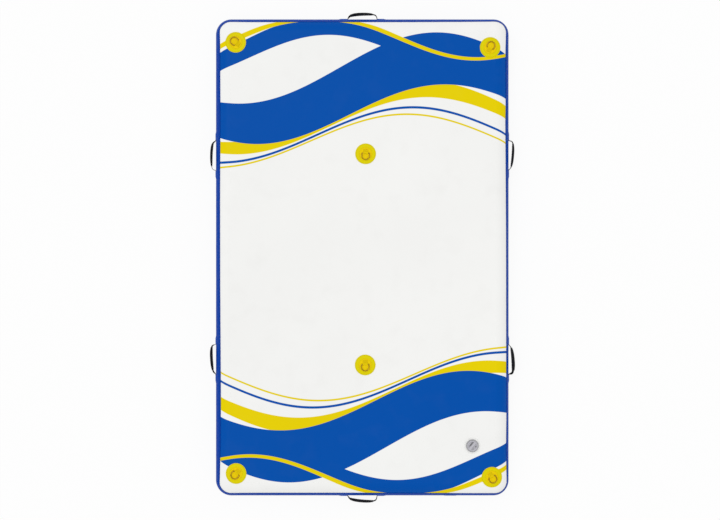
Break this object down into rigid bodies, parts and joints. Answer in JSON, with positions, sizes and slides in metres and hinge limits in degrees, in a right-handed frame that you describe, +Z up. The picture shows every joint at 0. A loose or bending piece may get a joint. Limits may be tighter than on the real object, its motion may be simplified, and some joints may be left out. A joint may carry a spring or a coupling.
{
  "type": "inflatable floating deck",
  "caption": "Flat rectangular drop-stitch inflatable deck with rounded edges, D-rings on round patches, padded carry handles on its walls and a capped air valve.",
  "frame": {"origin": "bottom centre of the whole part, on the flat of the bottom skin", "axes": "+Z up through the deck's thickness, +Y along its length towards the front, +X across its width"},
  "size_m": [1.568, 2.508, 0.1627],
  "materials": {
    "top_skin": "semi-gloss coated fabric, printed",
    "bottom_skin": "semi-gloss coated fabric",
    "side_wall": "semi-gloss coated fabric",
    "inner_wall_strip": "coated fabric",
    "wall_joint_patch": "semi-gloss coated fabric",
    "drop_stitch_core": "woven polyester",
    "valve_patch": "semi-gloss coated fabric",
    "valve_gasket": "matt",
    "valve_body": "satin",
    "valve_guide": "satin",
    "valve_nut": "satin",
    "valve_spring": "bright",
    "valve_stem": "satin",
    "valve_seal": "matt",
    "valve_button": "satin",
    "valve_cap_seal": "matt",
    "valve_cap": "satin",
    "ring_patch": "semi-gloss coated fabric",
    "ring_cover": "semi-gloss coated fabric",
    "d_ring": "polished stainless steel",
    "handle_strap": "woven webbing",
    "handle_grip": "neoprene sleeve",
    "handle_anchor": "semi-gloss coated fabric"
  },
  "bodies": {
    "deck": {"top_skin": "top_skin", "bottom_skin": "bottom_skin", "side_wall": "side_wall", "inner_wall_strip": "inner_wall_strip", "wall_joint_patch": "wall_joint_patch", "drop_stitch_core": "drop_stitch_core", "valve_patch": "valve_patch", "valve_gasket": "valve_gasket", "valve_body": "valve_body", "valve_guide": "valve_guide", "valve_nut": "valve_nut", "valve_spring": "valve_spring", "ring_patch_front_left": "ring_patch", "ring_cover_front_left": "ring_cover", "ring_patch_front_right": "ring_patch", "ring_cover_front_right": "ring_cover", "ring_patch_rear_left": "ring_patch", "ring_cover_rear_left": "ring_cover", "ring_patch_rear_right": "ring_patch", "ring_cover_rear_right": "ring_cover", "ring_patch_centre_front": "ring_patch", "ring_cover_centre_front": "ring_cover", "ring_patch_centre_rear": "ring_patch", "ring_cover_centre_rear": "ring_cover", "handle_anchor_right_front_a": "handle_anchor", "handle_anchor_right_front_b": "handle_anchor", "handle_anchor_right_rear_a": "handle_anchor", "handle_anchor_right_rear_b": "handle_anchor", "handle_anchor_left_rear_a": "handle_anchor", "handle_anchor_left_rear_b": "handle_anchor", "handle_anchor_left_front_a": "handle_anchor", "handle_anchor_left_front_b": "handle_anchor", "handle_anchor_front_a": "handle_anchor", "handle_anchor_front_b": "handle_anchor", "handle_anchor_rear_a": "handle_anchor", "handle_anchor_rear_b": "handle_anchor"},
    "d_ring_front_left": {"d_ring_front_left": "d_ring"},
    "d_ring_front_right": {"d_ring_front_right": "d_ring"},
    "d_ring_rear_left": {"d_ring_rear_left": "d_ring"},
    "d_ring_rear_right": {"d_ring_rear_right": "d_ring"},
    "d_ring_centre_front": {"d_ring_centre_front": "d_ring"},
    "d_ring_centre_rear": {"d_ring_centre_rear": "d_ring"},
    "valve_stem": {"valve_stem": "valve_stem", "valve_seal": "valve_seal", "valve_button": "valve_button"},
    "valve_cap_seal": {"valve_cap_seal": "valve_cap_seal"},
    "valve_cap": {"valve_cap": "valve_cap"},
    "handle_right_front": {"handle_strap_right_front": "handle_strap", "handle_grip_right_front": "handle_grip"},
    "handle_right_rear": {"handle_strap_right_rear": "handle_strap", "handle_grip_right_rear": "handle_grip"},
    "handle_left_rear": {"handle_strap_left_rear": "handle_strap", "handle_grip_left_rear": "handle_grip"},
    "handle_left_front": {"handle_strap_left_front": "handle_strap", "handle_grip_left_front": "handle_grip"},
    "handle_front": {"handle_strap_front": "handle_strap", "handle_grip_front": "handle_grip"},
    "handle_rear": {"handle_strap_rear": "handle_strap", "handle_grip_rear": "handle_grip"}
  },
  "joints": [
    {"name": "ring_swing_front_left", "type": "hinge", "parent": "deck", "child": "d_ring_front_left", "pos_m": [-0.64228, 1.0898, 0.1563], "axis": [0.6293, 0.7771, 0], "range_deg": [0, 178]},
    {"name": "ring_swing_front_right", "type": "hinge", "parent": "deck", "child": "d_ring_front_right", "pos_m": [0.64569, 1.06275, 0.1563], "axis": [0.9272, -0.3746, 0], "range_deg": [0, 178]},
    {"name": "ring_swing_rear_left", "type": "hinge", "parent": "deck", "child": "d_ring_rear_left", "pos_m": [-0.6407, -1.09436, 0.1563], "axis": [-0.7547, 0.6561, 0], "range_deg": [0, 178]},
    {"name": "ring_swing_rear_right", "type": "hinge", "parent": "deck", "child": "d_ring_rear_right", "pos_m": [0.65436, -1.11291, 0.1563], "axis": [-0.8829, -0.4695, 0], "range_deg": [0, 178]},
    {"name": "ring_swing_centre_front", "type": "hinge", "parent": "deck", "child": "d_ring_centre_front", "pos_m": [0.0145, 0.5295, 0.1563], "axis": [-1, 0, 0], "range_deg": [0, 178]},
    {"name": "ring_swing_centre_rear", "type": "hinge", "parent": "deck", "child": "d_ring_centre_rear", "pos_m": [0.0125, -0.5425, 0.1563], "axis": [-1, 0, 0], "range_deg": [0, 178]},
    {"name": "valve_push", "type": "slide", "parent": "deck", "child": "valve_stem", "axis": [0, 0, -1], "range_m": [0, 0.004], "stiffness_N_per_m": 600, "springref_m": -0.003, "deforming": ["valve_spring"]},
    {"name": "cap_lift", "type": "slide", "parent": "deck", "child": "valve_cap_seal", "axis": [0, 0, 1], "range_m": [0, 0.04]},
    {"name": "cap_turn", "type": "hinge", "parent": "valve_cap_seal", "child": "valve_cap", "pos_m": [0.556, -0.956, 0.1559], "axis": [0, 0, 1], "range_deg": [0, 90]},
    {"name": "handle_swing_right_front", "type": "hinge", "parent": "deck", "child": "handle_right_front", "pos_m": [0.7525, 0.523, 0.075], "axis": [0, -1, 0], "range_deg": [-50, 50], "stiffness_Nm_per_rad": 0.4},
    {"name": "handle_swing_right_rear", "type": "hinge", "parent": "deck", "child": "handle_right_rear", "pos_m": [0.7525, -0.523, 0.075], "axis": [0, -1, 0], "range_deg": [-50, 50], "stiffness_Nm_per_rad": 0.4},
    {"name": "handle_swing_left_rear", "type": "hinge", "parent": "deck", "child": "handle_left_rear", "pos_m": [-0.7525, -0.523, 0.075], "axis": [0, 1, 0], "range_deg": [-50, 50], "stiffness_Nm_per_rad": 0.4},
    {"name": "handle_swing_left_front", "type": "hinge", "parent": "deck", "child": "handle_left_front", "pos_m": [-0.7525, 0.523, 0.075], "axis": [0, 1, 0], "range_deg": [-50, 50], "stiffness_Nm_per_rad": 0.4},
    {"name": "handle_swing_front", "type": "hinge", "parent": "deck", "child": "handle_front", "pos_m": [0, 1.2225, 0.075], "axis": [1, 0, 0], "range_deg": [-50, 50], "stiffness_Nm_per_rad": 0.4},
    {"name": "handle_swing_rear", "type": "hinge", "parent": "deck", "child": "handle_rear", "pos_m": [0, -1.2225, 0.075], "axis": [-1, 0, 0], "range_deg": [-50, 50], "stiffness_Nm_per_rad": 0.4}
  ]
}
